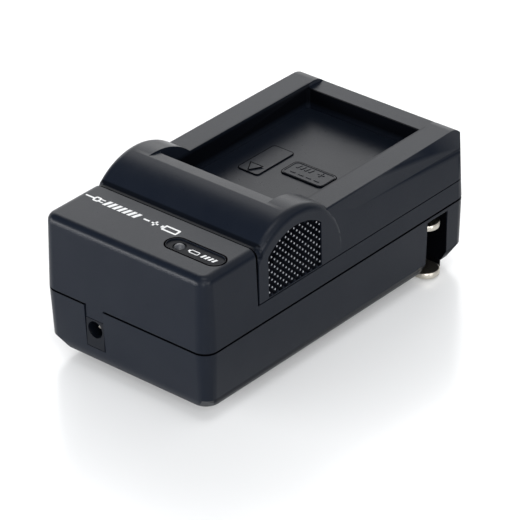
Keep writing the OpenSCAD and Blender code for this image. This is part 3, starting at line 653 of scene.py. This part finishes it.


# Near-black outlines of the two plates and of the arrow, painted shade of their edges, and raised
# marks in the place of the words
def makeBayMarks(look):
    rings, edges = [], []
    moat, over = look["moat"], look["overhang"]
    for x, y, width, length, corner in (look["arrowPlate"], look["sizePlate"]):
        outer = planLoop(width + 2 * moat, length + 2 * moat, corner + moat, 8)
        inner = planLoop(width - look["moatInside"], length - look["moatInside"], corner, 8)
        rings += ringOf(shifted(outer, x, y), shifted(inner, x, y))
        edges += frameOf(x, y, width + over, length + over, look["edge"], corner)
    top = look["floor"] + look["rise"]
    stampMarks("plateMoats", rings, look["floor"], look["moatSkin"], paintedShadeFinish)
    stampMarks("plateEdges", edges, top, look["edgeSkin"], paintedShadeFinish)
    wide, inner = (triangle(*look["arrow"], *look[key]) for key in ("arrowOuter", "arrowInner"))
    stampMarks("arrowMoat", ringOf(wide, inner), top + look["rise"], look["edgeSkin"],
               paintedShadeFinish)
    x, y, width, length = look["sizePlate"][:4]
    ribs = frameOf(x, y, width - look["ribInset"], length - look["ribInset"],
                   look["ribStroke"], look["ribCorner"])
    for i in range(look["ribs"]):
        for pitch, wide, low, high, lean in (look["upright"], look["dash"]):
            start = x + look["ribLeft"] + pitch * i
            ribs.append(bar(start, start + wide, y + low, y + high, lean))
    for x1, x2, y1, y2 in look["plus"]:
        ribs.append(bar(x + x1, x + x2, y + y1, y + y2))
    stampMarks("plateRibs", ribs, top, look["ribHeight"],
               finishes["case_plastic"])


makeBayMarks(bayMarks)

notchRim = {"x": (8.0, 21.5), "y": (38.2, 39.0), "z": (0.6, 2.9)}    # mm


# A near-black block as painted shade, in the place of the foot's low rim behind the folded blades
def makeNotchShadeBlock(look):
    (x1, x2), (y1, y2), (z1, z2) = look["x"], look["y"], look["z"]
    stampMarks("notchRim", [[(x1, y1), (x2, y1), (x2, y2), (x1, y2)]], z1, z2 - z1,
               paintedShadeFinish)


makeNotchShadeBlock(notchRim)

gripPoints = {   # mm: the pyramids' spacing, the depth and half width of the painted highlight caps, the panel's rim
    "pitch": 1.34, "rise": 0.02, "depth": 0.14, "half": 0.2,
    "y": (-24.55, -7.05), "low": 23.6, "hump": (-15.35, 24.0, 12.9),
    "count": 16,     # pyramids tried to each side of the middle
}


# Lighter caps on the points of the grip's pyramids, as painted highlights
def makeGripTipHighlights(look):
    pitch, count = look["pitch"], look["count"]
    reach = look["half"] * math.sqrt(2)
    middleY, middleZ, radius = look["hump"]
    vertices, faces = [], []
    for i in range(-count, count):
        for j in range(-count, count):
            y = gripMiddle[0] + (i + j + 1) * pitch / math.sqrt(2)
            z = gripMiddle[1] + (i - j) * pitch / math.sqrt(2)
            if not (look["y"][0] < y < look["y"][1] and z > look["low"]
                    and math.hypot(y - middleY, z - middleZ) < radius):
                continue
            for sign in (-1, 1):
                start = len(vertices)
                vertices.append((sign * (gripTop + look["rise"]), y, z))
                vertices += [(sign * (gripTop - look["depth"]), y + reach * dy, z + reach * dz)
                             for dy, dz in ((1, 0), (0, 1), (-1, 0), (0, -1))]
                for k in range(4):
                    side = (start + 1 + k, start + 1 + (k + 1) % 4)
                    faces.append((start, *side) if sign > 0 else (start, *side[::-1]))
    newPiece("gripPoints", vertices, faces, tipPlastic)


makeGripTipHighlights(gripPoints)
print("marks stamped")


cameraView = {
    "azimuth": 41.378,                     # degrees, 0 looks along +Y
    "elevation": 30.719,
    "roll": -1.40,
    "place": (438.65, -497.98, 406.61),    # mm
    "lens": 234.76,
    "sensor": 36.0,
    "clip": (0.05, 20),                    # m
}


def makeCamera(view):
    azimuth, elevation, roll = (math.radians(view[k]) for k in ("azimuth", "elevation", "roll"))
    back = Vector((math.sin(azimuth) * math.cos(elevation),
                   -math.cos(azimuth) * math.cos(elevation), math.sin(elevation)))
    right = Vector((math.cos(azimuth), math.sin(azimuth), 0))
    up = back.cross(right)
    tiltedRight = right * math.cos(roll) + up * math.sin(roll)
    tiltedUp = up * math.cos(roll) - right * math.sin(roll)
    camera = bpy.data.objects.new("camera", bpy.data.cameras.new("camera"))
    scene.collection.objects.link(camera)
    turn = Matrix((tiltedRight, tiltedUp, back)).transposed().to_4x4()
    camera.matrix_world = Matrix.Translation(Vector(view["place"]) * mm) @ turn
    camera.data.lens = view["lens"]
    camera.data.sensor_width = view["sensor"]
    camera.data.clip_start, camera.data.clip_end = view["clip"]
    scene.camera = camera


makeCamera(cameraView)

studio = {
    "around": 0.56,                # light from all sides, as a share of white
    "floor": (0.78, 0.79, 0.80),
    "floorSize": (12, 12),         # m
    "lift": 0.16,                  # what the camera sees above the floor's own light
    "boxes": [                     # name, size (m), place (m), power (W)
        ("backBox", (1.7, 1.3), (-0.95, 1.08, 0.86), 14),
        ("stripBox", (1.6, 0.34), (-0.80, -1.15, 0.24), 25),
        ("cornerBox", (0.40, 0.30), (0.80, -0.93, 0.25), 4),
        ("filletBox", (0.35, 0.35), (0.80, -0.57, 0.80), 2.5),
        ("rightBox", (0.5, 0.35), (1.35, -0.21, 0.42), 5),
        ("topBox", (0.7, 0.7), (0.3, -0.1, 1.5), 5),
    ],
    "flags": [                     # name, size (m), place (m)
        ("rightFlag", (1.6, 0.5), (1.0, 0.85, 0.2)),
        ("humpFlag", (1.9, 0.8), (-0.74, -0.81, 0.86)),
        ("crownFlag", (1.8, 1.3), (-0.70, -0.45, 0.95)),
    ],
}


# The turn and place of a sheet that faces the part
def facing(place):
    away = Vector(place) - Vector((0, 0, 0.02))
    return Matrix.Translation(Vector(place)) @ away.to_track_quat("Z", "Y").to_matrix().to_4x4()


def sheetMesh(name, size):
    mesh = bpy.data.meshes.new(name)
    x, y = size[0] / 2, size[1] / 2
    mesh.from_pydata([(-x, -y, 0), (x, -y, 0), (x, y, 0), (-x, y, 0)], [], [(0, 1, 2, 3)])
    made = bpy.data.objects.new(name, mesh)
    scene.collection.objects.link(made)
    return made


# 1 for what the camera sees, directly, mirrored or through something, else 0
def seenRays(tree):
    path = tree.nodes.new("ShaderNodeLightPath")
    seen = Wire(tree, path.outputs["Is Camera Ray"])
    for kind in ("Is Glossy Ray", "Is Transmission Ray"):
        seen = seen.math("MAXIMUM", seen, Wire(tree, path.outputs[kind]))
    return seen


def makeStudio(look):
    world = bpy.data.worlds.new("studio")
    scene.world = world
    world.use_nodes = True
    tree = world.node_tree
    tree.nodes.clear()
    level = seenRays(tree) * (1 - look["around"]) + look["around"]
    light = tree.nodes.new("ShaderNodeBackground")
    light.inputs["Color"].default_value = (1, 1, 1, 1)
    tree.links.new(level.socket, light.inputs["Strength"])
    out = tree.nodes.new("ShaderNodeOutputWorld")
    tree.links.new(light.outputs[0], out.inputs["Surface"])

    sheet = Finish("floorSheet")
    cloud = sheet.noise(9, 2)
    lift = sheet.blend(seenRays(sheet.tree), (0, 0, 0), (look["lift"],) * 3)
    sheet.surface(Base_Color=look["floor"], Roughness=0.20 + 0.04 * cloud,
                  Specular_IOR_Level=0.5, Emission_Color=lift, Emission_Strength=1.0)
    floor = sheetMesh("floor", look["floorSize"])
    floor.data.materials.append(sheet.material)

    dark = Finish("flagCloth")
    dark.surface(Base_Color=(0.01, 0.01, 0.012), Roughness=0.9 + 0.05 * dark.noise(40))
    for name, size, place in look["flags"]:
        flag = sheetMesh(name, size)
        flag.matrix_world = facing(place)
        flag.data.materials.append(dark.material)
        flag.visible_camera = False
        flag.visible_shadow = False
    for name, size, place, power in look["boxes"]:
        lamp = bpy.data.lights.new(name, "AREA")
        lamp.shape = "RECTANGLE"
        lamp.size, lamp.size_y = size
        lamp.energy = power
        box = bpy.data.objects.new(name, lamp)
        scene.collection.objects.link(box)
        box.matrix_world = facing(place)


makeStudio(studio)
scene.view_settings.view_transform = "Standard"
print("studio lit")
